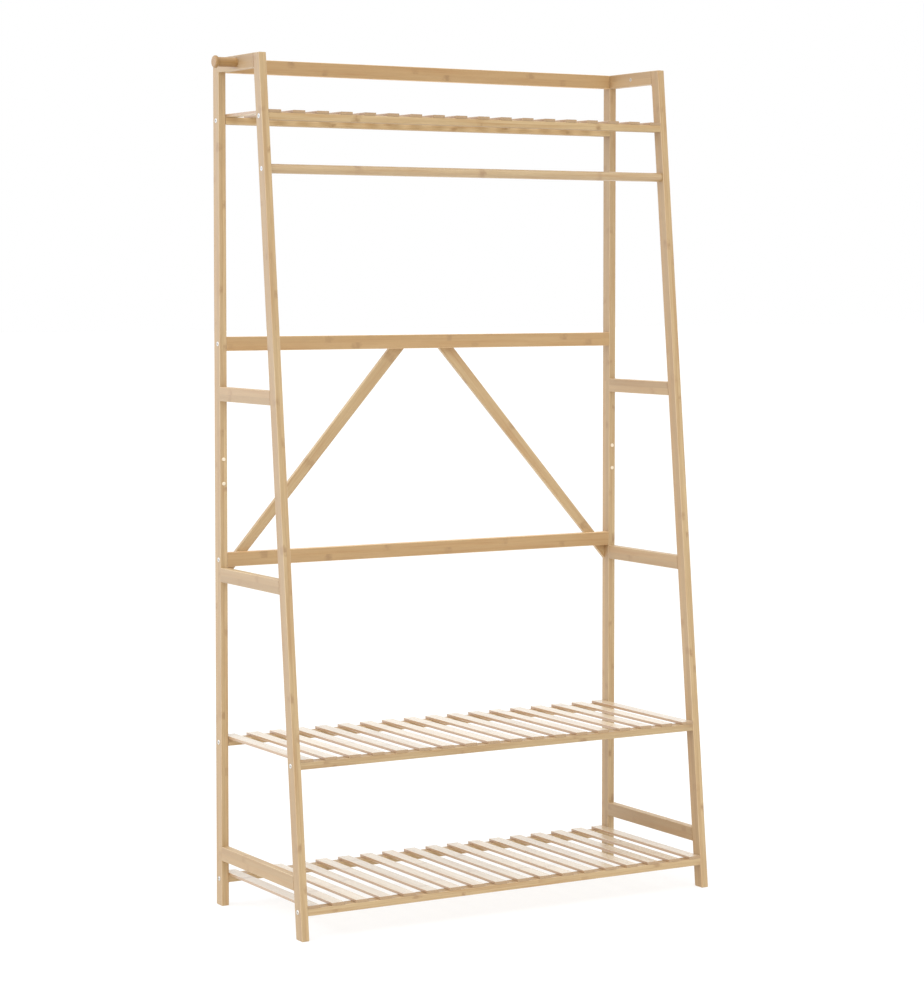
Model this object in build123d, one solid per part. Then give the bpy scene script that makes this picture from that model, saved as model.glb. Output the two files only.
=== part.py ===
from build123d import *
import math
import os

# Free-standing bamboo clothes rack. Two side frames, each an upright rear post and a leaning
# front post joined by four short rails, are held apart by back rails, a hanging rod and three
# slatted shelves. Millimetres. The origin is on the floor in the middle of the footprint,
# +X to the right, +Y to the back, +Z up.

# Overall size
rack_width = 1000.0            # over the outer faces of the posts
rack_depth = 400.0             # from the front feet to the back of the rear posts
rack_height = 1795.0
top_depth = 217.5              # over both posts at the top, where the front posts lean in

# Bamboo stock
post_width = 17.0              # along X
post_depth = 27.0              # square to the post
rail_height = 30.0             # side rails and back rails
brace_thickness = 9.0
brace_head_width = 28.0        # the braces taper from head to foot
brace_foot_width = 21.0
shelf_rail_height = 15.0
slat_width = 28.0
slat_thickness = 6.0
slat_count = 18                # on each shelf
rod_diameter = 20.0

# Heights above the floor, to the middle of each rail
side_rail_upper_z = 1090.5
side_rail_lower_z = 707.5
side_rail_bottom_z = 112.5
back_middle_z = 1196.0
back_lower_z = 739.0

# Shelves, to the underside of their rails, and the rod, to its middle
top_shelf_drop = 137.5         # below the top of the rack
middle_shelf_z = 342.0
bottom_shelf_z = 49.5
rod_drop = 237.5               # below the top of the rack

# Braces, to the middle of the brace
brace_head_offset = 49.5       # from the middle of the rack, at the middle back rail
brace_foot_gap = 28.0          # from the rear post, at the lower back rail
brace_head_margin = 2.0        # the brace ends this far below the top of the middle rail

# Coat pegs
peg_setback = 83.5             # from the front of the rear post
peg_shaft_diameter = 20.0
peg_neck_length = 42.0
peg_head_diameter = 26.0
peg_head_length = 9.0
peg_head_round = 4.0

# Through holes in the rear posts, for fixing the rack to a wall
wall_hole_diameter = 5.5
wall_hole_z = 901.0            # the lower hole
wall_hole_pitch = 51.5
cap_diameter = 8.0             # plastic caps cover the front ends of the holes
cap_height = 1.6
cap_round = 1.0
cap_hollow_diameter = 6.2      # the underside is hollow, and its rim sits on the post
cap_hollow_depth = 0.8

# Connector bolts, which go through a post into a barrel nut in the end of a rail
bolt_diameter = 6.0
bolt_head_diameter = 10.0
bolt_head_length = 3.0
bolt_head_recess = 2.4         # how deep the head sits in the post
bolt_hole_diameter = 7.0
bolt_tip = 4.0                 # past the barrel nut
socket_width = 4.0             # across the flats of the hexagon socket
socket_depth = 2.0
nut_diameter = 10.0
nut_distance = 22.0            # from the end of the rail to the middle of the nut
nut_skin = 2.0                 # bamboo left over each end of the nut
nut_slot = 1.2                 # width and depth of the screwdriver slot
bolt_tip_gap = 1.0             # the bolt's hole is deeper than the bolt by this

# Wood screws, pins and dowels
rod_screw_diameter = 5.0
rod_screw_grip = 35.0          # length in the rod
peg_screw_diameter = 4.0
peg_screw_grip = 28.0          # length in the peg
peg_screw_head = 8.0
brace_screw_diameter = 3.5
brace_screw_grip = 12.0        # length in the rail
brace_screw_head = 7.0
brace_screw_rise = 9.0         # the foot screw clears the bolt in the lower rail by this
screw_head_length = 2.2
pin_diameter = 1.4
pin_head_diameter = 2.8
pin_head_length = 0.8
pin_grip = 11.0                # length in the shelf rail
pin_offset = 8.5               # from the middle of the shelf rail
dowel_diameter = 6.0
dowel_depth = 14.0             # in each of the two pieces
dowel_wall = 3.0               # bamboo between a dowel and a bolt hole
dowel_end_gap = 0.5

# Small clearances and rounded edges
back_rail_inset = 1.0          # behind the front of the rear posts
shelf_front_inset = 1.0        # behind the front of the front posts
hole_clearance = 0.4           # round the heads of bolts and screws
post_edge = 1.8
rail_edge = 1.5
slat_edge = 1.0

# Worked out from the sizes above
lean_slope = (rack_depth - top_depth) / rack_height
lean_angle = math.degrees(math.atan(lean_slope))
front_y = -rack_depth / 2
rear_y = rack_depth / 2
rear_post_front = rear_y - post_depth
rear_post_middle = rear_y - post_depth / 2
post_middle_x = (rack_width - post_width) / 2
inner_x = rack_width / 2 - post_width
clear_width = 2 * inner_x
leaning_depth = post_depth / math.cos(math.radians(lean_angle))
back_rail_thickness = post_depth - brace_thickness - back_rail_inset
back_rail_middle = rear_post_front + back_rail_inset + back_rail_thickness / 2
top_rail_z = rack_height - rail_height / 2
rod_z = rack_height - rod_drop
peg_y = rear_post_front - peg_setback
nut_length = min(shelf_rail_height, back_rail_thickness) - 2 * nut_skin
bolt_reach = nut_distance + nut_diameter / 2 + bolt_tip
dowel_spacing = bolt_hole_diameter + dowel_diameter + dowel_wall
slat_pitch = (clear_width - slat_width) / (slat_count - 1)

sides = {"left": -1, "right": 1}
side_rails = {
    "top": top_rail_z,
    "upper": side_rail_upper_z,
    "lower": side_rail_lower_z,
    "bottom": side_rail_bottom_z,
}
back_rails = {"top": top_rail_z, "middle": back_middle_z, "lower": back_lower_z}
shelves = {
    "top": rack_height - top_shelf_drop,
    "middle": middle_shelf_z,
    "bottom": bottom_shelf_z,
}


def front_face(z):
    # front of the leaning posts at a height
    return front_y + lean_slope * z


def front_middle(z):
    return front_face(z) + leaning_depth / 2


def front_back_face(z):
    return front_face(z) + leaning_depth


def cylinder(start, direction, length, diameter):
    # round bar or hole from a point along a direction
    shape = Cylinder(diameter / 2, length, align=(Align.CENTER, Align.CENTER, Align.MIN))
    return Plane(origin=start, z_dir=direction) * shape


def bar(size, middle, long_axis, edge):
    # rectangular bar with its four long edges rounded
    block = Box(*size)
    block = fillet(block.edges().filter_by(long_axis), edge)
    return Pos(*middle) * block


def leaning_bar(x, width):
    # full-height bar along the leaning front post, cut level at the floor and at the top
    middle_z = rack_height / 2
    upright = Box(width, post_depth, rack_height + rack_depth)
    tilted = Pos(x, front_middle(middle_z), middle_z) * Rot(-lean_angle, 0, 0) * upright
    slab = Pos(x, 0, middle_z) * Box(2 * width, 2 * rack_depth, rack_height)
    return tilted & slab


def shelf_rail_middles(level):
    # middle of the front rail and of the rear rail of a shelf, along Y
    middle_z = shelves[level] + shelf_rail_height / 2
    return {
        "front": front_face(middle_z) + shelf_front_inset + post_depth / 2,
        "rear": rear_post_middle,
    }


# Connector bolts. Each one is the place where its axis crosses the outer face of the post.

def shelf_bolt_points(side, place):
    points = []
    for level, z in shelves.items():
        y = shelf_rail_middles(level)[place]
        points.append((side * rack_width / 2, y, z + shelf_rail_height / 2))
    return points


def back_bolt_points(side):
    return [(side * rack_width / 2, back_rail_middle, z) for z in back_rails.values()]


def bolt_holes(points, side):
    # stepped hole through a post for each bolt
    holes = []
    for point in points:
        head_hole = bolt_head_diameter + hole_clearance
        holes.append(cylinder(point, (-side, 0, 0), bolt_head_recess, head_hole))
        holes.append(cylinder(point, (-side, 0, 0), post_width, bolt_hole_diameter))
    return holes


def connector_bolt(point, side):
    shank = post_width - bolt_head_recess + bolt_reach
    seat = point[0] - side * bolt_head_recess
    head_end = seat + side * bolt_head_length
    head = cylinder((seat, point[1], point[2]), (side, 0, 0), bolt_head_length, bolt_head_diameter)
    rim = head.edges().filter_by(GeomType.CIRCLE).sort_by(Axis.X)[-1 if side > 0 else 0]
    head = fillet(rim, bolt_head_length / 4)
    stem = cylinder((seat, point[1], point[2]), (-side, 0, 0), shank, bolt_diameter)
    hexagon = RegularPolygon(socket_width / 2, 6, major_radius=False)
    socket_plane = Plane(origin=(head_end, point[1], point[2]), z_dir=(-side, 0, 0))
    return head + stem - extrude(socket_plane * hexagon, socket_depth)


def rail_bolt_holes(y, z, nut_direction, rail_size):
    # at both ends of a rail: the bolt's hole, and the nut's hole from the face that is out of sight
    holes = []
    reach = rail_size / 2 + nut_length / 2
    for side in sides.values():
        hole_depth = bolt_reach + bolt_tip_gap
        holes.append(cylinder((side * inner_x, y, z), (-side, 0, 0), hole_depth, bolt_hole_diameter))
        x = side * (inner_x - nut_distance)
        dx, dy, dz = nut_direction
        start = (x - dx * rail_size / 2, y - dy * rail_size / 2, z - dz * rail_size / 2)
        holes.append(cylinder(start, nut_direction, reach, nut_diameter))
    return holes


def barrel_nut(side, y, z, direction):
    x = side * (inner_x - nut_distance)
    dx, dy, dz = direction
    start = (x - dx * nut_length / 2, y - dy * nut_length / 2, z - dz * nut_length / 2)
    barrel = cylinder(start, direction, nut_length, nut_diameter)
    thread = cylinder((x - nut_diameter, y, z), (1, 0, 0), 2 * nut_diameter, bolt_diameter)
    slot = Pos(*start) * Box(nut_diameter, 2 * nut_slot, 2 * nut_slot)
    return barrel - thread - slot


def wood_screw(seat, direction, grip, diameter, head_diameter):
    # countersunk screw: seat is the middle of the head's flat top, direction points into the wood
    plane = Plane(origin=seat, z_dir=direction)
    head = Cone(head_diameter / 2, diameter / 2, screw_head_length,
                align=(Align.CENTER, Align.CENTER, Align.MIN))
    stem_length = grip - screw_head_length - diameter
    stem = Pos(0, 0, screw_head_length) * Cylinder(
        diameter / 2, stem_length, align=(Align.CENTER, Align.CENTER, Align.MIN))
    point = Pos(0, 0, grip - diameter) * Cone(
        diameter / 2, diameter / 8, diameter, align=(Align.CENTER, Align.CENTER, Align.MIN))
    recess = Pos(0, 0, screw_head_length / 4) * (
        Box(head_diameter / 2, head_diameter / 7, screw_head_length / 2)
        + Box(head_diameter / 7, head_diameter / 2, screw_head_length / 2))
    return plane * (head + stem + point - recess)


def wood_screw_hole(seat, direction, grip, diameter, head_diameter):
    # the same outline as the screw, without its driver recess
    plane = Plane(origin=seat, z_dir=direction)
    head = Cone(head_diameter / 2, diameter / 2, screw_head_length,
                align=(Align.CENTER, Align.CENTER, Align.MIN))
    stem = Cylinder(diameter / 2, grip, align=(Align.CENTER, Align.CENTER, Align.MIN))
    return plane * (head + stem)


# Screws that hold the rod, the pegs and the braces: where each one starts and how it runs

def rod_screw(side):
    start = (side * rack_width / 2, front_middle(rod_z), rod_z)
    return start, (-side, 0, 0), post_width + rod_screw_grip, rod_screw_diameter, bolt_head_diameter


def peg_screw(side):
    start = (side * inner_x, peg_y, top_rail_z)
    return start, (side, 0, 0), post_width + peg_screw_grip, peg_screw_diameter, peg_screw_head


def brace_middle_x(z):
    # distance of the brace's middle line from the middle of the rack, at a height
    foot = inner_x - brace_foot_gap
    share = (back_middle_z - z) / (back_middle_z - back_lower_z)
    return brace_head_offset + (foot - brace_head_offset) * share


def brace_screws(side):
    screws = []
    for z in (back_middle_z, back_lower_z + brace_screw_rise):
        start = (side * brace_middle_x(z), rear_y, z)
        grip = brace_thickness + brace_screw_grip
        screws.append((start, (0, -1, 0), grip, brace_screw_diameter, brace_screw_head))
    return screws


# Dowels between the side rails and the posts

def dowel_places(side, place):
    # middle of each dowel on the face of the post
    places = []
    for z in side_rails.values():
        for step in (-dowel_spacing / 2, dowel_spacing / 2):
            y = rear_post_front if place == "rear" else front_back_face(z + step)
            places.append((side * post_middle_x, y, z + step))
    return places


def dowel_holes(side, place):
    length = 2 * (dowel_depth + dowel_end_gap)
    return [cylinder((x, y - length / 2, z), (0, 1, 0), length, dowel_diameter)
            for x, y, z in dowel_places(side, place)]


def dowel(place):
    x, y, z = place
    peg = cylinder((x, y - dowel_depth, z), (0, 1, 0), 2 * dowel_depth, dowel_diameter)
    return chamfer(peg.edges().filter_by(GeomType.CIRCLE), dowel_diameter / 8)


# Pins that hold the slats on their rails

def slat_middles():
    return [-clear_width / 2 + slat_width / 2 + slat_pitch * number for number in range(slat_count)]


def pin_line(level, place):
    # the pins stand off the middle of the rail, towards the inside of the shelf
    towards = 1 if place == "front" else -1
    return shelf_rail_middles(level)[place] + towards * pin_offset


def slat_top(level):
    return shelves[level] + shelf_rail_height + slat_thickness


def pin(x, level, place):
    top = (x, pin_line(level, place), slat_top(level))
    head = cylinder(top, (0, 0, -1), pin_head_length, pin_head_diameter)
    return head + cylinder(top, (0, 0, -1), slat_thickness + pin_grip, pin_diameter)


# Holes for wall screws, and their caps

def wall_hole_points(side):
    # where each hole meets the front of the rear post
    heights = (wall_hole_z, wall_hole_z + wall_hole_pitch)
    return [(side * post_middle_x, rear_post_front, z) for z in heights]


def hole_cap(point):
    disc = cylinder(point, (0, -1, 0), cap_height, cap_diameter)
    rim = disc.edges().filter_by(GeomType.CIRCLE).sort_by(Axis.Y)[0]
    hollow = cylinder(point, (0, -1, 0), cap_hollow_depth, cap_hollow_diameter)
    return fillet(rim, cap_round) - hollow


# The pieces

def rear_post(side):
    middle = (side * post_middle_x, rear_post_middle, rack_height / 2)
    block = Pos(*middle) * Box(post_width, post_depth, rack_height)
    post = fillet(block.edges(), post_edge)
    holes = bolt_holes(shelf_bolt_points(side, "rear") + back_bolt_points(side), side)
    holes += dowel_holes(side, "rear")
    for point in wall_hole_points(side):
        holes.append(cylinder(point, (0, 1, 0), post_depth, wall_hole_diameter))
    return post - holes


def front_post(side):
    post = fillet(leaning_bar(side * post_middle_x, post_width).edges(), post_edge)
    holes = bolt_holes(shelf_bolt_points(side, "front"), side)
    holes += dowel_holes(side, "front")
    holes.append(wood_screw_hole(*rod_screw(side)))
    return post - holes


def side_rail(side, level):
    z = side_rails[level]
    front = front_middle(z - rail_height / 2)
    length = rear_post_front - front
    middle = (side * post_middle_x, front + length / 2, z)
    rail = bar((post_width, length, rail_height), middle, Axis.Y, rail_edge)
    cuts = [leaning_bar(side * post_middle_x, 2 * post_width)]
    cuts += dowel_holes(side, "rear")
    cuts += dowel_holes(side, "front")
    if level == "top":
        cuts.append(wood_screw_hole(*peg_screw(side)))
    pieces = (rail - cuts).solids()
    return pieces.sort_by(Axis.Y)[-1]


def back_rail(level):
    z = back_rails[level]
    size = (clear_width, back_rail_thickness, rail_height)
    rail = bar(size, (0, back_rail_middle, z), Axis.X, rail_edge)
    holes = rail_bolt_holes(back_rail_middle, z, (0, -1, 0), back_rail_thickness)
    for side in sides.values():
        holes += [wood_screw_hole(*screw) for screw in brace_screws(side)]
    return rail - holes


def brace(side):
    # a slanting, tapered board behind the back rails, cut level at its head and upright at its foot
    foot_x = brace_middle_x(back_lower_z)
    run = foot_x - brace_head_offset
    rise = back_middle_z - back_lower_z
    span = math.hypot(run, rise)
    tilt = math.degrees(math.atan(run / rise))
    # the board is drawn a span past the middle each way, and cut to length below
    half_width = (brace_head_width + brace_foot_width) / 4
    flare = (brace_head_width - brace_foot_width) / 2
    upper = half_width + flare
    lower = half_width - flare
    outline = Polygon((-lower, -span), (lower, -span), (upper, span), (-upper, span), align=None)
    board = extrude(Plane.XZ * outline, brace_thickness / 2, both=True)
    board = fillet(board.edges().sort_by(SortBy.LENGTH)[-4:], slat_edge)
    middle = (side * (brace_head_offset + foot_x) / 2, rear_y - brace_thickness / 2,
              (back_middle_z + back_lower_z) / 2)
    board = Pos(*middle) * Rot(0, -side * tilt, 0) * board
    top = back_middle_z + rail_height / 2 - brace_head_margin
    keep = Pos(0, rear_y, top - span) * Box(clear_width, post_depth, 2 * span)
    board = board & keep
    return board - [wood_screw_hole(*screw) for screw in brace_screws(side)]


def hanging_rod():
    start = (-inner_x, front_middle(rod_z), rod_z)
    rod = cylinder(start, (1, 0, 0), clear_width, rod_diameter)
    return rod - [wood_screw_hole(*rod_screw(side)) for side in sides.values()]


def peg(side):
    # turned peg: a straight shaft with a rounded knob
    start = (side * rack_width / 2, peg_y, top_rail_z)
    outwards = (side, 0, 0)
    knob_start = (start[0] + side * peg_neck_length, peg_y, top_rail_z)
    shaft = cylinder(start, outwards, peg_neck_length, peg_shaft_diameter)
    knob = cylinder(knob_start, outwards, peg_head_length, peg_head_diameter)
    knob = fillet(knob.edges().filter_by(GeomType.CIRCLE), peg_head_round)
    return shaft + knob - wood_screw_hole(*peg_screw(side))


def shelf_rail(level, place):
    z = shelves[level] + shelf_rail_height / 2
    y = shelf_rail_middles(level)[place]
    size = (clear_width, post_depth, shelf_rail_height)
    rail = bar(size, (0, y, z), Axis.X, rail_edge)
    holes = rail_bolt_holes(y, z, (0, 0, 1), shelf_rail_height)
    rail_top = shelves[level] + shelf_rail_height
    for x in slat_middles():
        holes.append(cylinder((x, pin_line(level, place), rail_top), (0, 0, -1), pin_grip, pin_diameter))
    return rail - holes


def shelf_slats(level):
    places = shelf_rail_middles(level)
    front = places["front"] - post_depth / 2
    length = rear_y - front
    z = shelves[level] + shelf_rail_height + slat_thickness / 2
    slats = []
    for x in slat_middles():
        slat = bar((slat_width, length, slat_thickness), (x, front + length / 2, z), Axis.Y, slat_edge)
        slats.append(slat - [pin(x, level, place) for place in places])
    return slats


def all_pieces():
    pieces = {}
    for name, side in sides.items():
        pieces["rear_post_" + name] = [rear_post(side)]
        pieces["front_post_" + name] = [front_post(side)]
        for level in side_rails:
            pieces["side_rail_" + level + "_" + name] = [side_rail(side, level)]
        pieces["brace_" + name] = [brace(side)]
        pieces["coat_peg_" + name] = [peg(side)]
        dowel_spots = dowel_places(side, "front") + dowel_places(side, "rear")
        pieces["side_frame_dowels_" + name] = [dowel(spot) for spot in dowel_spots]
    for level in back_rails:
        pieces["back_rail_" + level] = [back_rail(level)]
    pieces["hanging_rod"] = [hanging_rod()]
    for level in shelves:
        for place in ("front", "rear"):
            pieces[level + "_shelf_" + place + "_rail"] = [shelf_rail(level, place)]
        pieces[level + "_shelf_slats"] = shelf_slats(level)
        pieces[level + "_shelf_pins"] = [
            pin(x, level, place) for place in ("front", "rear") for x in slat_middles()]
    shelf_bolts = []
    shelf_nuts = []
    back_bolts = []
    back_nuts = []
    for side in sides.values():
        for place in ("front", "rear"):
            for point in shelf_bolt_points(side, place):
                shelf_bolts.append(connector_bolt(point, side))
                shelf_nuts.append(barrel_nut(side, point[1], point[2], (0, 0, 1)))
        for point in back_bolt_points(side):
            back_bolts.append(connector_bolt(point, side))
            back_nuts.append(barrel_nut(side, point[1], point[2], (0, -1, 0)))
    pieces["shelf_bolts"] = shelf_bolts
    pieces["shelf_barrel_nuts"] = shelf_nuts
    pieces["back_rail_bolts"] = back_bolts
    pieces["back_rail_barrel_nuts"] = back_nuts
    pieces["rod_screws"] = [wood_screw(*rod_screw(side)) for side in sides.values()]
    pieces["peg_screws"] = [wood_screw(*peg_screw(side)) for side in sides.values()]
    pieces["brace_screws"] = [
        wood_screw(*screw) for side in sides.values() for screw in brace_screws(side)]
    pieces["wall_hole_caps"] = [
        hole_cap(point) for side in sides.values() for point in wall_hole_points(side)]
    return pieces


os.makedirs("parts", exist_ok=True)
for node, shapes in all_pieces().items():
    solids = [solid for shape in shapes for solid in shape.solids()]
    export_step(solids[0] if len(solids) == 1 else Compound(solids), "parts/" + node + ".step")
    print(node, len(solids))
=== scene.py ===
import math
import bmesh
import bpy
from mathutils import Euler, Matrix, Vector


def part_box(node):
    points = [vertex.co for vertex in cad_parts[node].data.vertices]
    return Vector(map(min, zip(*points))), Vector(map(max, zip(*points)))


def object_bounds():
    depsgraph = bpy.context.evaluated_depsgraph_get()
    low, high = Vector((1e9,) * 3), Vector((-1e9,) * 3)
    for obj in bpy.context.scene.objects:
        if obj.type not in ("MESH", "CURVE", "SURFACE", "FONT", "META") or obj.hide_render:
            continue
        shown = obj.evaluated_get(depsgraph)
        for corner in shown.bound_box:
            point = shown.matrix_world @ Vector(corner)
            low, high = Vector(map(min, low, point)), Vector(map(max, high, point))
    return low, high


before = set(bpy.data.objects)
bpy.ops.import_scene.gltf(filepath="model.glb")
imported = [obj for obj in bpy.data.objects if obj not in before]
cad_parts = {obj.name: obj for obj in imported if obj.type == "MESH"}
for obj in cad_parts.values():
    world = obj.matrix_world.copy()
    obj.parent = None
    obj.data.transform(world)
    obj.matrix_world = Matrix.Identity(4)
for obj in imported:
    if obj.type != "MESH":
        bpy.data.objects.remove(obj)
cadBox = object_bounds()
print("frame loaded:", len(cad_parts), "nodes")

# Standard keeps pale bamboo as pale as it is; the film-like default would grey it
bpy.context.scene.view_settings.view_transform = "Standard"
bpy.context.scene.view_settings.look = "None"


def mm(size):
    return size / 1000


def perMm(size):
    # a pattern scale, so that one cell is this many millimetres
    return 1000 / size


def colour(hexValue):
    # sRGB hex to the linear numbers that the sockets take
    channels = [int(hexValue[i:i + 2], 16) / 255 for i in (1, 3, 5)]
    linear = [c / 12.92 if c <= 0.04045 else ((c + 0.055) / 1.055) ** 2.4 for c in channels]
    return (*linear, 1)


def addNode(tree, kind, inputs=None, **settings):
    # inputs go by name or number; a socket is linked and anything else is set
    node = tree.nodes.new(kind)
    for key, value in settings.items():
        setattr(node, key, value)
    for key, value in (inputs or {}).items():
        if isinstance(value, bpy.types.NodeSocket):
            tree.links.new(value, node.inputs[key])
        else:
            node.inputs[key].default_value = value
    return node


def newMaterial(name):
    material = bpy.data.materials.new(name)
    material.use_nodes = True
    material.node_tree.nodes.clear()
    return material, material.node_tree


def finishMaterial(tree, shader):
    addNode(tree, "ShaderNodeOutputMaterial", {"Surface": shader.outputs["BSDF"]})


def dress(nodeName, material):
    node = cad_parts[nodeName]
    node.data.materials.clear()
    node.data.materials.append(material)


# Laminated bamboo, planed, sanded and given a clear satin lacquer. The eye gets long soft streaks
# along the strips, a brown knuckle every few hundred millimetres, a thin glue line between strips,
# paler rounded edges (sanded wood with a painted highlight), dotted ends, and a broad white sheen where the
# light skims over it.
bambooLook = {
    "pale": "#CDB184",
    "middle": "#C0A276",
    "warm": "#B48C5C",
    "knuckle": "#946B44",
    "glue": "#9C7A50",
    # painted highlight and sanded wood: the colour of the paler rounded edges
    "edge": "#D6C09A",
    "end": "#B08C60",
    "side": "#A67C52",        # painted shade for the narrow sides of a strip, which lie in shade between slats
    "endPore": "#7E5A38",
    "streakLength": 130,      # mm
    "streakWidth": 3.2,
    "streakStops": (0.30, 0.50, 0.70),   # where the noise is warm, middle and pale
    "fibreLength": 22,
    "fibreWidth": 0.55,       # real fibres are 0.2 mm; these are as fine as the view shows
    "knuckleSpacing": 300,
    "knuckleHalf": 13.0,
    "knuckleWander": 7.0,
    "knuckleDepth": 0.6,      # share of the knuckle's brown at its darkest
    "knuckleRelief": 1.5,     # how far a knuckle stands out, against a fibre
    "glueHalf": 0.35,
    "glueShare": 0.55,
    "poreSize": 0.9,
    "roughness": (0.48, 0.62),
    "endRoughness": 0.7,
    "endShare": 0.85,         # how much of the sawn end's colour the ends show
    "edgeWearAndHighlightShare": 0.5,         # how much paler the edges are painted, for sanded wood and a painted highlight
    "stripTone": 0.08,        # how much one strip differs from the next
    "pieceTone": 0.015,
    "sideShadeShare": 0.0,         # how much of the painted side shade the sides show
    "fibreHeight": 0.03,      # mm
    "ior": 1.5,
    "specular": 0.5,
    "coat": 0.35,
    "coatRoughness": 0.35,
}


def laminatedBamboo(nodeName, grain, face, look=bambooLook, layers=1, layerSize=1000.0, pitch=None,
                    rounded=False):
    # grain runs along the strips, face is square to their broad side, and pitch parts loose slats
    material, tree = newMaterial("laminatedBamboo_" + nodeName)
    low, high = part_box(nodeName)
    centre = (low + high) / 2
    across = face.cross(grain)
    turn = Matrix((grain, across, face)).transposed().to_euler()
    seed = sum(ord(letter) * (i + 1) for i, letter in enumerate(nodeName)) % 997 / 10

    where = addNode(tree, "ShaderNodeTexCoord")
    local = addNode(tree, "ShaderNodeMapping", {
        "Vector": where.outputs["Object"], "Location": centre, "Rotation": turn}, vector_type="TEXTURE")
    xyz = addNode(tree, "ShaderNodeSeparateXYZ", {0: local.outputs[0]})
    along, sideways, through = xyz.outputs[0], xyz.outputs[1], xyz.outputs[2]

    # which strip this is: by layer, and by slat where slats lie side by side
    layer = addNode(tree, "ShaderNodeMath", {
        0: addNode(tree, "ShaderNodeMath", {0: through, 1: mm(layerSize)}, operation="DIVIDE").outputs[0],
        1: 0.0 if layers % 2 == 0 else 0.5}, operation="ADD")
    layerNumber = addNode(tree, "ShaderNodeMath", {0: layer.outputs[0]}, operation="FLOOR")
    slat = addNode(tree, "ShaderNodeMath", {0: sideways, 1: pitch or 10.0}, operation="DIVIDE")
    slatNumber = addNode(tree, "ShaderNodeMath", {0: slat.outputs[0]}, operation="FLOOR")
    stripName = addNode(tree, "ShaderNodeCombineXYZ", {
        0: layerNumber.outputs[0], 1: slatNumber.outputs[0], 2: seed})
    chance = addNode(tree, "ShaderNodeTexWhiteNoise", {"Vector": stripName.outputs[0]},
                     noise_dimensions="3D")
    chances = addNode(tree, "ShaderNodeSeparateColor", {0: chance.outputs["Color"]})

    # every strip is cut from another cane, so its pattern starts somewhere else
    shift = addNode(tree, "ShaderNodeVectorMath", {
        0: chance.outputs["Color"], 1: (3.0, 1.0, 1.0)}, operation="MULTIPLY")
    own = addNode(tree, "ShaderNodeVectorMath", {0: local.outputs[0], 1: shift.outputs[0]}, operation="ADD")

    streakMap = addNode(tree, "ShaderNodeMapping", {
        "Vector": own.outputs[0],
        "Scale": (perMm(look["streakLength"]), perMm(look["streakWidth"]), perMm(look["streakWidth"]))})
    streak = addNode(tree, "ShaderNodeTexNoise", {
        "Vector": streakMap.outputs[0], "Scale": 1.0, "Detail": 3.0, "Roughness": 0.55})
    broadMap = addNode(tree, "ShaderNodeMapping", {
        "Vector": own.outputs[0],
        "Scale": (perMm(look["streakLength"] * 1.8), perMm(look["streakWidth"] * 5),
                  perMm(look["streakWidth"] * 5))})
    broad = addNode(tree, "ShaderNodeTexNoise", {
        "Vector": broadMap.outputs[0], "Scale": 1.0, "Detail": 2.0, "Roughness": 0.5})
    fibreMap = addNode(tree, "ShaderNodeMapping", {
        "Vector": own.outputs[0],
        "Scale": (perMm(look["fibreLength"]), perMm(look["fibreWidth"]), perMm(look["fibreWidth"]))})
    fibre = addNode(tree, "ShaderNodeTexNoise", {
        "Vector": fibreMap.outputs[0], "Scale": 1.0, "Detail": 2.0, "Roughness": 0.6})

    bothStreaks = addNode(tree, "ShaderNodeMix", {
        "Factor": 0.5, 2: streak.outputs[0], 3: broad.outputs[0]}, data_type="FLOAT")
    wood = addNode(tree, "ShaderNodeValToRGB", {0: bothStreaks.outputs[0]})
    ramp = wood.color_ramp
    warmStop, middleStop, paleStop = look["streakStops"]
    ramp.elements[0].position = warmStop
    ramp.elements[0].color = colour(look["warm"])
    ramp.elements[1].position = paleStop
    ramp.elements[1].color = colour(look["pale"])
    ramp.elements.new(middleStop).color = colour(look["middle"])

    # knuckles: the node rings of the cane, each a wavering brown bar across one strip
    wander = addNode(tree, "ShaderNodeTexNoise", {
        "Vector": own.outputs[0], "Scale": perMm(11), "Detail": 2.0})
    wandering = addNode(tree, "ShaderNodeMapRange", {
        0: wander.outputs[0], 1: 0.25, 2: 0.75,
        3: -mm(look["knuckleWander"]), 4: mm(look["knuckleWander"])})
    place = addNode(tree, "ShaderNodeMath", {0: along, 1: wandering.outputs[0]}, operation="ADD")
    count = addNode(tree, "ShaderNodeMath", {
        0: place.outputs[0], 1: perMm(look["knuckleSpacing"]), 2: chances.outputs[1]},
        operation="MULTIPLY_ADD")
    share = addNode(tree, "ShaderNodeMath", {0: count.outputs[0]}, operation="FRACT")
    offset = addNode(tree, "ShaderNodeMath", {0: share.outputs[0], 1: 0.5}, operation="SUBTRACT")
    apart = addNode(tree, "ShaderNodeMath", {0: offset.outputs[0]}, operation="ABSOLUTE")
    knuckle = addNode(tree, "ShaderNodeMapRange", {
        0: apart.outputs[0], 1: 0.0, 2: look["knuckleHalf"] / look["knuckleSpacing"], 3: 1.0, 4: 0.0},
        interpolation_type="SMOOTHSTEP")
    patchy = addNode(tree, "ShaderNodeMapRange", {0: broad.outputs[0], 1: 0.35, 2: 0.65, 3: 0.08,
        4: look["knuckleDepth"]})
    knuckleStrength = addNode(tree, "ShaderNodeMath", {
        0: knuckle.outputs[0], 1: patchy.outputs[0]}, operation="MULTIPLY")
    withKnuckles = addNode(tree, "ShaderNodeMix", {
        "Factor": knuckleStrength.outputs[0], 6: wood.outputs[0], 7: colour(look["knuckle"])},
        data_type="RGBA")

    # dark fibre bundles, finer than the streaks
    fibreDark = addNode(tree, "ShaderNodeMapRange", {0: fibre.outputs[0], 1: 0.30, 2: 0.52, 3: 0.86, 4: 1.0})
    withFibres = addNode(tree, "ShaderNodeMix", {
        "Factor": 1.0, 6: withKnuckles.outputs[2], 7: fibreDark.outputs[0]},
        data_type="RGBA", blend_type="MULTIPLY")

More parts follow.
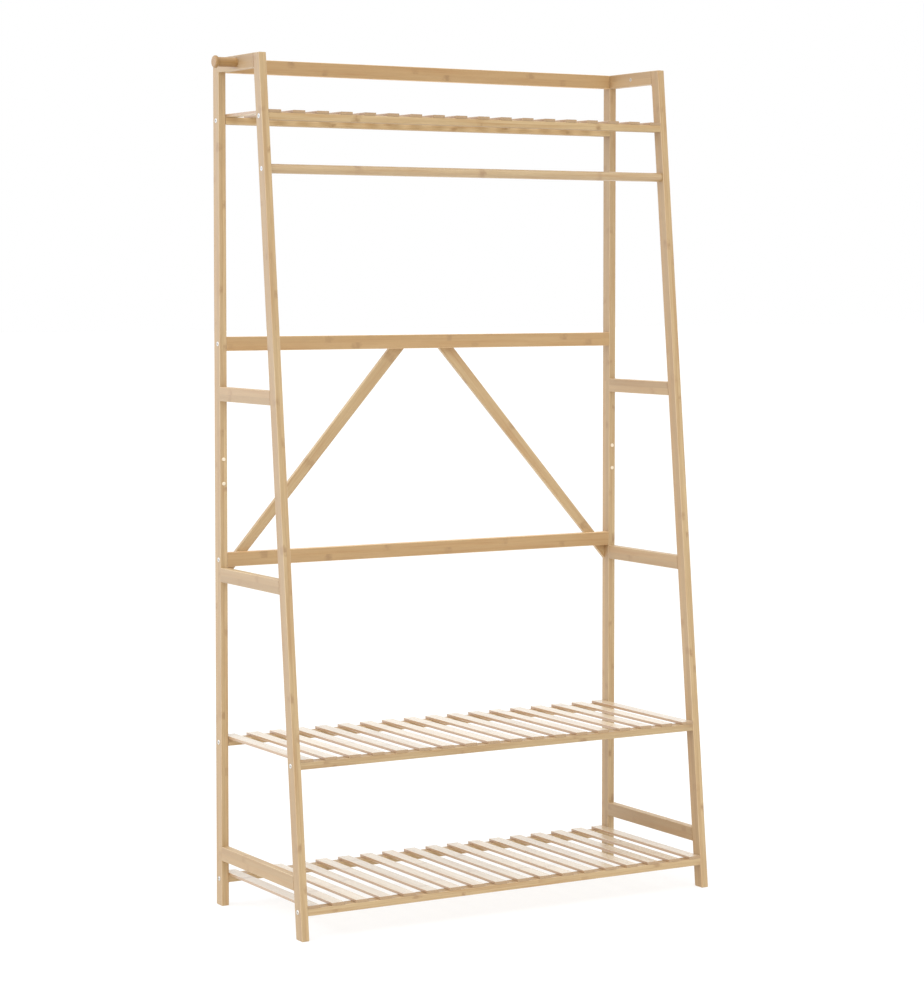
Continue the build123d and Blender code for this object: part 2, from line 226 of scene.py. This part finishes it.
    # the glue line between two layers
    inLayer = addNode(tree, "ShaderNodeMath", {0: layer.outputs[0]}, operation="FRACT")
    fromMiddle = addNode(tree, "ShaderNodeMath", {0: inLayer.outputs[0], 1: 0.5}, operation="SUBTRACT")
    toSeam = addNode(tree, "ShaderNodeMath", {0: fromMiddle.outputs[0]}, operation="ABSOLUTE")
    seam = addNode(tree, "ShaderNodeMapRange", {
        0: toSeam.outputs[0], 1: 0.5 - look["glueHalf"] / layerSize, 2: 0.5, 3: 0.0, 4: look["glueShare"]})
    withGlue = addNode(tree, "ShaderNodeMix", {
        "Factor": seam.outputs[0], 6: withFibres.outputs[2], 7: colour(look["glue"])}, data_type="RGBA")

    # strip by strip, a little lighter or darker
    toneLow = 1 - look["stripTone"] - look["pieceTone"] * math.sin(seed)
    toneHigh = 1 + look["stripTone"] - look["pieceTone"] * math.sin(seed)
    stripTone = addNode(tree, "ShaderNodeMapRange", {
        0: chances.outputs[0], 1: 0, 2: 1, 3: toneLow, 4: toneHigh})
    toned = addNode(tree, "ShaderNodeMix", {
        "Factor": 1.0, 6: withGlue.outputs[2], 7: stripTone.outputs[0]},
        data_type="RGBA", blend_type="MULTIPLY")
    body = toned.outputs[2]

    # which way the surface faces, in the piece's own directions
    facing = addNode(tree, "ShaderNodeMapping", {
        "Vector": where.outputs["Normal"], "Rotation": turn}, vector_type="TEXTURE")
    facingSize = addNode(tree, "ShaderNodeVectorMath", {0: facing.outputs[0]}, operation="ABSOLUTE")
    facingParts = addNode(tree, "ShaderNodeSeparateXYZ", {0: facingSize.outputs[0]})
    if not rounded:
        # the rounded edges are painted paler, partly sanded wood and partly a painted highlight
        widest = addNode(tree, "ShaderNodeMath", {
            0: facingParts.outputs[1], 1: facingParts.outputs[2]}, operation="MAXIMUM")
        flattest = addNode(tree, "ShaderNodeMath", {
            0: widest.outputs[0], 1: facingParts.outputs[0]}, operation="MAXIMUM")
        edge = addNode(tree, "ShaderNodeMapRange", {
            0: flattest.outputs[0], 1: 0.98, 2: 0.80, 3: 0.0, 4: look["edgeWearAndHighlightShare"]})
        edgeWearAndHighlight = addNode(tree, "ShaderNodeMath", {
            0: edge.outputs[0], 1: addNode(tree, "ShaderNodeMapRange", {
                0: streak.outputs[0], 1: 0.35, 2: 0.6, 3: 0.35, 4: 1.0}).outputs[0]}, operation="MULTIPLY")
        wornAndHighlit = addNode(tree, "ShaderNodeMix", {
            "Factor": edgeWearAndHighlight.outputs[0], 6: body, 7: colour(look["edge"])}, data_type="RGBA")
        body = wornAndHighlit.outputs[2]

    # painted shade: the narrow sides that face the next slat are painted darker, for the shade between slats
    if look["sideShadeShare"]:
        isShadedSide = addNode(tree, "ShaderNodeMapRange", {
            0: facingParts.outputs[1], 1: 0.75, 2: 0.95, 3: 0.0, 4: look["sideShadeShare"]})
        sideShaded = addNode(tree, "ShaderNodeMix", {
            "Factor": isShadedSide.outputs[0], 6: body, 7: colour(look["side"])}, data_type="RGBA")
        body = sideShaded.outputs[2]

    # sawn ends show the cut fibre bundles as dark dots
    pores = addNode(tree, "ShaderNodeTexVoronoi", {
        "Vector": local.outputs[0], "Scale": perMm(look["poreSize"])})
    poreMask = addNode(tree, "ShaderNodeMapRange", {
        0: pores.outputs["Distance"], 1: 0.2, 2: 0.5, 3: 1.0, 4: 0.0})
    endWood = addNode(tree, "ShaderNodeMix", {
        "Factor": poreMask.outputs[0], 6: colour(look["end"]), 7: colour(look["endPore"])}, data_type="RGBA")
    isEnd = addNode(tree, "ShaderNodeMapRange", {
        0: facingParts.outputs[0], 1: 0.80, 2: 0.95, 3: 0.0, 4: look["endShare"]})
    skin = addNode(tree, "ShaderNodeMix", {
        "Factor": isEnd.outputs[0], 6: body, 7: endWood.outputs[2]}, data_type="RGBA")

    smoothest, roughest = look["roughness"]
    rough = addNode(tree, "ShaderNodeMapRange", {
        0: streak.outputs[0], 1: 0.3, 2: 0.7, 3: smoothest, 4: roughest})
    endRough = addNode(tree, "ShaderNodeMix", {
        "Factor": isEnd.outputs[0], 2: rough.outputs[0], 3: look["endRoughness"]}, data_type="FLOAT")

    relief = addNode(tree, "ShaderNodeMath", {
        0: knuckle.outputs[0], 1: look["knuckleRelief"], 2: fibre.outputs[0]}, operation="MULTIPLY_ADD")
    bump = addNode(tree, "ShaderNodeBump", {
        "Strength": 0.6, "Distance": mm(look["fibreHeight"]), "Height": relief.outputs[0]})
    shader = addNode(tree, "ShaderNodeBsdfPrincipled", {
        "Base Color": skin.outputs[2], "Roughness": endRough.outputs[0], "IOR": look["ior"],
        "Specular IOR Level": look["specular"],
        "Coat Weight": look["coat"], "Coat Roughness": look["coatRoughness"], "Normal": bump.outputs[0]})
    finishMaterial(tree, shader)
    dress(nodeName, material)


# Zinc-plated steel, tumbled and bright: a soft, slightly cloudy mirror with a warm grey cast
steelLook = {
    "bright": "#E6E3DC",
    "dull": "#C6C2B8",
    "cloudSize": 2.5,         # mm
    "scratchLength": 3.0,
    "scratchWidth": 0.12,
    "roughness": (0.24, 0.42),
    "scratchHeight": 0.01,
}


def zincPlatedSteel(name, look):
    material, tree = newMaterial(name)
    where = addNode(tree, "ShaderNodeTexCoord")
    cloud = addNode(tree, "ShaderNodeTexNoise", {
        "Vector": where.outputs["Object"], "Scale": perMm(look["cloudSize"]), "Detail": 4.0})
    tint = addNode(tree, "ShaderNodeMix", {
        "Factor": cloud.outputs[0], 6: colour(look["bright"]), 7: colour(look["dull"])}, data_type="RGBA")
    low, high = look["roughness"]
    rough = addNode(tree, "ShaderNodeMapRange", {0: cloud.outputs[0], 1: 0.3, 2: 0.7, 3: low, 4: high})
    scratchMap = addNode(tree, "ShaderNodeMapping", {
        "Vector": where.outputs["Object"],
        "Scale": (perMm(look["scratchWidth"]), perMm(look["scratchLength"]), perMm(look["scratchWidth"]))})
    scratch = addNode(tree, "ShaderNodeTexNoise", {"Vector": scratchMap.outputs[0], "Scale": 1.0})
    bump = addNode(tree, "ShaderNodeBump", {
        "Strength": 0.4, "Distance": mm(look["scratchHeight"]), "Height": scratch.outputs[0]})
    shader = addNode(tree, "ShaderNodeBsdfPrincipled", {
        "Base Color": tint.outputs[2], "Metallic": 1.0, "Roughness": rough.outputs[0],
        "Normal": bump.outputs[0]})
    finishMaterial(tree, shader)
    return material


# Beech dowels, turned and left raw: pinkish tan with short dark flecks
beechLook = {
    "light": "#DDBB90",
    "dark": "#C39A6B",
    "fleckLength": 5.0,       # mm
    "fleckWidth": 0.5,
    "fleckHeight": 0.05,
    "roughness": 0.65,
}


def turnedBeech(name, look):
    material, tree = newMaterial(name)
    where = addNode(tree, "ShaderNodeTexCoord")
    fleckMap = addNode(tree, "ShaderNodeMapping", {
        "Vector": where.outputs["Object"],
        "Scale": (perMm(look["fleckWidth"]), perMm(look["fleckLength"]), perMm(look["fleckWidth"]))})
    fleck = addNode(tree, "ShaderNodeTexNoise", {"Vector": fleckMap.outputs[0], "Scale": 1.0, "Detail": 3.0})
    tint = addNode(tree, "ShaderNodeMix", {
        "Factor": fleck.outputs[0], 6: colour(look["light"]), 7: colour(look["dark"])}, data_type="RGBA")
    bump = addNode(tree, "ShaderNodeBump", {
        "Strength": 0.5, "Distance": mm(look["fleckHeight"]), "Height": fleck.outputs[0]})
    shader = addNode(tree, "ShaderNodeBsdfPrincipled", {
        "Base Color": tint.outputs[2], "Roughness": look["roughness"], "Normal": bump.outputs[0]})
    finishMaterial(tree, shader)
    return material


# Moulded polyethylene caps: waxy cream, a little translucent at the rim, with a fine spark texture
capLook = {
    "shade": "#F6E8CE",
    "rub": "#EBDABB",
    "textureSize": 0.4,       # mm
    "textureHeight": 0.02,
    "roughness": (0.32, 0.5),
    "ior": 1.51,
    "scatter": 0.15,
    "scatterDepth": (0.002, 0.0015, 0.001),   # m
}


def mouldedPolyethylene(name, look):
    material, tree = newMaterial(name)
    where = addNode(tree, "ShaderNodeTexCoord")
    grit = addNode(tree, "ShaderNodeTexNoise", {
        "Vector": where.outputs["Object"], "Scale": perMm(look["textureSize"]), "Detail": 2.0})
    tint = addNode(tree, "ShaderNodeMix", {
        "Factor": grit.outputs[0], 6: colour(look["shade"]), 7: colour(look["rub"])}, data_type="RGBA")
    low, high = look["roughness"]
    rough = addNode(tree, "ShaderNodeMapRange", {0: grit.outputs[0], 1: 0.3, 2: 0.7, 3: low, 4: high})
    bump = addNode(tree, "ShaderNodeBump", {
        "Strength": 0.5, "Distance": mm(look["textureHeight"]), "Height": grit.outputs[0]})
    shader = addNode(tree, "ShaderNodeBsdfPrincipled", {
        "Base Color": tint.outputs[2], "Roughness": rough.outputs[0], "IOR": look["ior"],
        "Subsurface Weight": look["scatter"], "Subsurface Radius": look["scatterDepth"],
        "Normal": bump.outputs[0]})
    finishMaterial(tree, shader)
    return material


# Directions along the pieces, from the frame
frontLow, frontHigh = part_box("front_post_left")
rearLow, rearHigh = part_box("rear_post_left")
postHeight = frontHigh.z - frontLow.z
lean = math.atan((frontHigh.y - frontLow.y - (rearHigh.y - rearLow.y)) / postHeight)
upright = Vector((0, 0, 1))
leaning = Vector((0, math.sin(lean), math.cos(lean)))
rightward = Vector((1, 0, 0))
backward = Vector((0, 1, 0))

postLook = {"layers": 2, "layerSize": 8.5}
railLook = {"layers": 2, "layerSize": 8.5}
shelfRailLook = {"layers": 2, "layerSize": 7.5}
# painted light: the back rails get a lighter copy of the bamboo, making up for the light that reaches them
# less at the back
backRailWoodPaintedLight = {**bambooLook, "pale": "#EAC792", "middle": "#DFB881", "warm": "#D09D62",
                "stripTone": 0.03}
topRailWood = {**bambooLook, "pale": "#D6BB90", "middle": "#CAAD82", "warm": "#BE9768",
               "specular": 0.1, "coat": 0.0}   # left matt, as it is seen from below
# painted shade: the pegs get a darker copy of the bamboo, standing in for the shade on their lower sides
pegWoodPaintedShade = {**bambooLook, "pale": "#B28C56", "middle": "#A27B48", "warm": "#906638"}
rodWood = {**bambooLook, "roughness": (0.28, 0.42), "coat": 1.0, "coatRoughness": 0.15}   # polished round
# painted light: the slats get a paler copy of the bamboo, standing in for the strong overhead light and
# sheen on the shelves
slatWoodWithPaintedLight = {**bambooLook, "pale": "#E8D8BE", "middle": "#DDC9A9", "warm": "#CDAE8A",
            "sideShadeShare": 0.8, "knuckleDepth": 0.35,
            "roughness": (0.30, 0.46), "coat": 1.0, "coatRoughness": 0.2}   # the shelves shine more
braceLook = {"tilt": 41.6}    # degrees from upright

for side in ("left", "right"):
    laminatedBamboo("rear_post_" + side, upright, rightward, **postLook)
    laminatedBamboo("front_post_" + side, leaning, rightward, **postLook)
    for level in ("top", "upper", "lower", "bottom"):
        laminatedBamboo("side_rail_" + level + "_" + side, backward, rightward, **railLook)
    tilt = math.radians(braceLook["tilt"]) * (1 if side == "left" else -1)
    slanting = Vector((math.sin(tilt), 0, math.cos(tilt)))
    laminatedBamboo("brace_" + side, slanting, backward)
    laminatedBamboo("coat_peg_" + side, rightward, upright, pegWoodPaintedShade, rounded=True)
for level in ("top", "middle", "lower"):
    laminatedBamboo("back_rail_" + level, rightward, backward, backRailWoodPaintedLight, **railLook)
laminatedBamboo("hanging_rod", rightward, upright, rodWood, rounded=True)
print("posts, rails, braces, rod and pegs dressed")

shelfLook = {"slatCount": 18, "slatWidth": 28.0}   # mm
for level in ("top", "middle", "bottom"):
    railWood = topRailWood if level == "top" else bambooLook
    for place in ("front", "rear"):
        laminatedBamboo(level + "_shelf_" + place + "_rail", rightward, upright, railWood, **shelfRailLook)
    low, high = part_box(level + "_shelf_slats")
    slatPitch = (high.x - low.x - mm(shelfLook["slatWidth"])) / (shelfLook["slatCount"] - 1)
    laminatedBamboo(level + "_shelf_slats", backward, upright, slatWoodWithPaintedLight, pitch=slatPitch)
print("shelves dressed")

zinc = zincPlatedSteel("zincPlatedSteel", steelLook)
brightPins = zincPlatedSteel("brightSteelPins", {**steelLook, "roughness": (0.2, 0.34)})
beech = turnedBeech("rawBeechDowels", beechLook)
caps = mouldedPolyethylene("mouldedPolyethyleneCaps", capLook)
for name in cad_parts:
    if name.endswith("_bolts") or name.endswith("_nuts") or name.endswith("_screws"):
        dress(name, zinc)
    if name.endswith("_pins"):
        dress(name, brightPins)
    if name.startswith("side_frame_dowels"):
        dress(name, beech)
    if name.endswith("_caps"):
        dress(name, caps)
print("fasteners dressed")


# Studio: a matt opal acrylic floor, lit evenly from below so that shadows on it stay faint, which
# runs out to a white surround
studioLook = {
    "floorColour": "#8C8A86", # what the acrylic sends back; the rest passes through it
    "floorGlow": 0.77,
    "floorSize": 120.0,       # m
    "floorMottle": 4.0,       # mm
    "floorRoughness": (0.85, 0.95),
    "surround": "#FFFFFF",
    "surroundSeen": 1.0,
    "surroundLight": 0.46,    # what it gives the matt surfaces, so that the overhead light shapes them
}


def layFloor(look):
    mesh = bpy.data.meshes.new("studioFloor")
    shape = bmesh.new()
    bmesh.ops.create_grid(shape, x_segments=1, y_segments=1, size=look["floorSize"] / 2)
    shape.to_mesh(mesh)
    shape.free()
    floor = bpy.data.objects.new("studioFloor", mesh)
    bpy.context.scene.collection.objects.link(floor)
    material, tree = newMaterial("opalAcrylicFloor")
    where = addNode(tree, "ShaderNodeTexCoord")
    mottle = addNode(tree, "ShaderNodeTexNoise", {
        "Vector": where.outputs["Object"], "Scale": perMm(look["floorMottle"])})
    low, high = look["floorRoughness"]
    rough = addNode(tree, "ShaderNodeMapRange", {0: mottle.outputs[0], 3: low, 4: high})
    shader = addNode(tree, "ShaderNodeBsdfPrincipled", {
        "Base Color": colour(look["floorColour"]), "Roughness": rough.outputs[0], "Specular IOR Level": 0.1,
        "Emission Color": (1, 1, 1, 1), "Emission Strength": look["floorGlow"]})
    finishMaterial(tree, shader)
    mesh.materials.append(material)


def paintSurround(look):
    world = bpy.data.worlds.new("whiteSurround")
    world.use_nodes = True
    tree = world.node_tree
    tree.nodes.clear()
    ray = addNode(tree, "ShaderNodeLightPath")
    seen = addNode(tree, "ShaderNodeMath", {
        0: ray.outputs["Is Camera Ray"], 1: ray.outputs["Is Glossy Ray"]}, operation="MAXIMUM")
    strength = addNode(tree, "ShaderNodeMapRange", {
        0: seen.outputs[0], 3: look["surroundLight"], 4: look["surroundSeen"]})
    glow = addNode(tree, "ShaderNodeBackground", {
        "Color": colour(look["surround"]), "Strength": strength.outputs[0]})
    addNode(tree, "ShaderNodeOutputWorld", {"Surface": glow.outputs[0]})
    bpy.context.scene.world = world


# Lights: one very wide overhead light that falls on the whole floor alike, a cool soft box on the
# left, and a weaker one on the right that keeps the far side from going dull
overheadLook = {
    "from": (-0.45, -0.35, 1.0),
    "spread": 100.0,          # degrees
    "strength": 2.9,
    "tint": "#F6F9FF",
}
leftBoxLook = {
    "place": (-3.6, 1.8, 1.6),    # m, a little behind, so that the left faces catch its sheen
    "size": 4.0,
    "power": 108,
    "tint": "#B8D3FF",
}
rightBoxLook = {
    "place": (3.6, 1.2, 1.6),     # m
    "size": 4.0,
    "power": 55,
    "tint": "#F4F7FF",
}


def hangOverhead(look):
    light = bpy.data.lights.new("overheadLight", "SUN")
    light.angle = math.radians(look["spread"])
    light.energy = look["strength"]
    light.color = colour(look["tint"])[:3]
    lamp = bpy.data.objects.new("overheadLight", light)
    lamp.rotation_euler = (-Vector(look["from"])).to_track_quat("-Z", "Y").to_euler()
    bpy.context.scene.collection.objects.link(lamp)


def standSoftBox(name, look, target):
    light = bpy.data.lights.new(name, "AREA")
    light.shape = "SQUARE"
    light.size = look["size"]
    light.energy = look["power"]
    light.color = colour(look["tint"])[:3]
    lamp = bpy.data.objects.new(name, light)
    lamp.location = look["place"]
    lamp.rotation_euler = (target - lamp.location).to_track_quat("-Z", "Y").to_euler()
    bpy.context.scene.collection.objects.link(lamp)


layFloor(studioLook)
paintSurround(studioLook)
hangOverhead(overheadLook)
rackMiddle = (cadBox[0] + cadBox[1]) / 2
standSoftBox("leftSoftBox", leftBoxLook, rackMiddle)
standSoftBox("rightSoftBox", rightBoxLook, rackMiddle)
print("studio ready")

# Camera: from the left front, a little over chest height, looking slightly down
cameraLook = {
    "place": (-3.0038, -5.0886, 1.3304),   # m
    "yaw": 30.474,            # degrees, clockwise from straight at the back
    "pitch": 2.905,           # degrees down
    "lens": 99.239,           # mm
    "rise": -0.08,            # share of the frame
}


def placeCamera(look):
    data = bpy.data.cameras.new("rackCamera")
    data.lens = look["lens"]
    data.sensor_width = 36.0
    data.shift_y = look["rise"]
    camera = bpy.data.objects.new("rackCamera", data)
    camera.location = look["place"]
    camera.rotation_euler = Euler((math.radians(90 - look["pitch"]), 0, -math.radians(look["yaw"])))
    bpy.context.scene.collection.objects.link(camera)
    bpy.context.scene.camera = camera


placeCamera(cameraLook)
print("camera placed")
